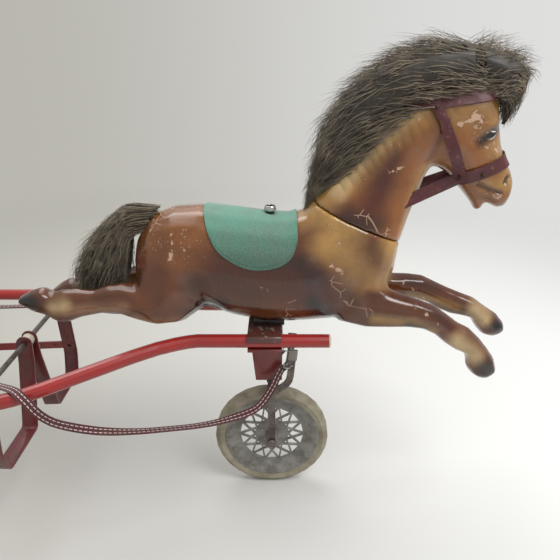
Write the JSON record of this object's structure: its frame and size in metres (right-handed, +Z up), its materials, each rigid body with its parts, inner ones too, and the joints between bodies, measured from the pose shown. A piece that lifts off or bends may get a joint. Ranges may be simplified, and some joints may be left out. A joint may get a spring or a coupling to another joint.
{
  "type": "pedal horse sulky",
  "caption": "Child's pedal sulky: moulded galloping horse over a steered front wheel, bent tubular shafts, stirrup pedals driving a cranked rear axle, pressed seat and webbing reins.",
  "frame": {"origin": "on the ground, under the middle of the whole object's box", "axes": "+X towards the horse's head, +Y the rider's left, +Z up"},
  "size_m": [1.3117, 0.4832, 0.717],
  "materials": {
    "horse_enamel": "glossy airbrushed amber to dark brown, chipped",
    "fur": "grey-brown fur",
    "saddle_cloth": "soiled teal cloth",
    "bridle_leather": "worn maroon leather",
    "black_steel": "black paint",
    "chrome": "bright plating",
    "shaft_enamel": "glossy red enamel",
    "cream_plastic": "aged cream moulding",
    "clamp_worn_paint": "worn red-brown paint",
    "bracket_enamel": "red enamel",
    "bolt_steel": "dull steel",
    "fork_steel": "dull grey steel strip",
    "grey_sleeve": "light grey sleeve",
    "wheel_casting": "grey painted casting",
    "tyre_rubber": "aged cream rubber",
    "rod_steel": "dull steel",
    "pedal_enamel": "dark red enamel",
    "connecting_rod_enamel": "red enamel",
    "seat_enamel": "red enamel",
    "rein_webbing": "maroon webbing"
  },
  "bodies": {
    "frame": {"shaft_left": "shaft_enamel", "shaft_right": "shaft_enamel", "shaft_cap_front_left": "cream_plastic", "shaft_cap_front_right": "cream_plastic", "shaft_cap_rear_left": "cream_plastic", "shaft_cap_rear_right": "cream_plastic", "clamp_saddle": "clamp_worn_paint", "steering_head": "bracket_enamel", "clamp_bolt_left": "bolt_steel", "clamp_bolt_right": "bolt_steel", "belly_block": "black_steel", "horse_post": "black_steel", "post_ring_nut": "chrome", "horse_body": "horse_enamel", "horse_neck_head": "horse_enamel", "mane": "fur", "forelock": "fur", "tail": "fur", "saddle_cloth": "saddle_cloth", "bridle": "bridle_leather", "pedal_rod": "rod_steel", "pedal_bush": "cream_plastic", "pedal_rod_nut_left": "rod_steel", "pedal_rod_nut_right": "rod_steel", "axle_bracket_left": "bracket_enamel", "axle_bracket_right": "bracket_enamel", "axle_bush_left": "cream_plastic", "axle_bush_right": "cream_plastic", "seat_bearer_front": "bracket_enamel", "seat_bearer_rear": "bracket_enamel", "seat_pan": "seat_enamel", "back_frame": "bracket_enamel", "seat_back": "seat_enamel", "rein_front_left": "rein_webbing", "rein_front_right": "rein_webbing", "rein_loop": "rein_webbing"},
    "fork": {"fork": "fork_steel", "steering_pin": "fork_steel", "steering_arm_left": "fork_steel", "steering_arm_right": "fork_steel", "arm_sleeve_left": "grey_sleeve", "arm_sleeve_right": "grey_sleeve", "rein_ring_left": "chrome", "rein_ring_right": "chrome", "front_axle": "fork_steel"},
    "front_wheel": {"front_rim": "wheel_casting", "front_tyre": "tyre_rubber"},
    "pedal_right": {"pedal_right": "pedal_enamel"},
    "pedal_left": {"pedal_left": "pedal_enamel"},
    "crank_axle": {"crank_axle": "rod_steel", "rear_right_rim": "wheel_casting", "rear_right_tyre": "tyre_rubber", "hub_cap_right": "chrome", "hub_cap_left": "chrome"},
    "rear_left_wheel": {"rear_left_rim": "wheel_casting", "rear_left_tyre": "tyre_rubber"},
    "rod_right": {"connecting_rod_right": "connecting_rod_enamel", "rod_rivet_right": "rod_steel"},
    "rod_left": {"connecting_rod_left": "connecting_rod_enamel", "rod_rivet_left": "rod_steel"}
  },
  "joints": [
    {"name": "steering_turn", "type": "hinge", "parent": "frame", "child": "fork", "pos_m": [0.26583, 0, 0.25], "axis": [0, 0, 1], "range_deg": [-25, 25], "deforming": ["rein_front_right", "rein_front_left"]},
    {"name": "front_wheel_spin", "type": "hinge", "parent": "fork", "child": "front_wheel", "pos_m": [0.26583, 0, 0.095], "axis": [0, 1, 0], "continuous": true},
    {"name": "pedal_right_swing", "type": "hinge", "parent": "frame", "child": "pedal_right", "pos_m": [-0.12216, 0, 0.275], "axis": [0, 1, 0], "range_deg": [-24.1, 18.6]},
    {"name": "pedal_left_swing", "type": "hinge", "parent": "frame", "child": "pedal_left", "pos_m": [-0.12216, 0, 0.275], "axis": [0, 1, 0], "range_deg": [-18.6, 24.1]},
    {"name": "crank_spin", "type": "hinge", "parent": "frame", "child": "crank_axle", "pos_m": [-0.50416, 0, 0.135], "axis": [0, 1, 0], "continuous": true},
    {"name": "rear_left_wheel_spin", "type": "hinge", "parent": "frame", "child": "rear_left_wheel", "pos_m": [-0.50416, 0, 0.135], "axis": [0, 1, 0], "continuous": true},
    {"name": "rod_right_turn", "type": "hinge", "parent": "crank_axle", "child": "rod_right", "pos_m": [-0.50416, -0.14835, 0.102], "axis": [0, 1, 0], "continuous": true},
    {"name": "rod_left_turn", "type": "hinge", "parent": "crank_axle", "child": "rod_left", "pos_m": [-0.50416, 0.14835, 0.168], "axis": [0, 1, 0], "continuous": true}
  ],
  "couplings": [
    {"joint": "pedal_left_swing", "follows": "pedal_right_swing", "ratio": -1},
    {"joint": "rod_right_turn", "follows": "crank_spin", "ratio": -1},
    {"joint": "rod_left_turn", "follows": "crank_spin", "ratio": -1}
  ]
}
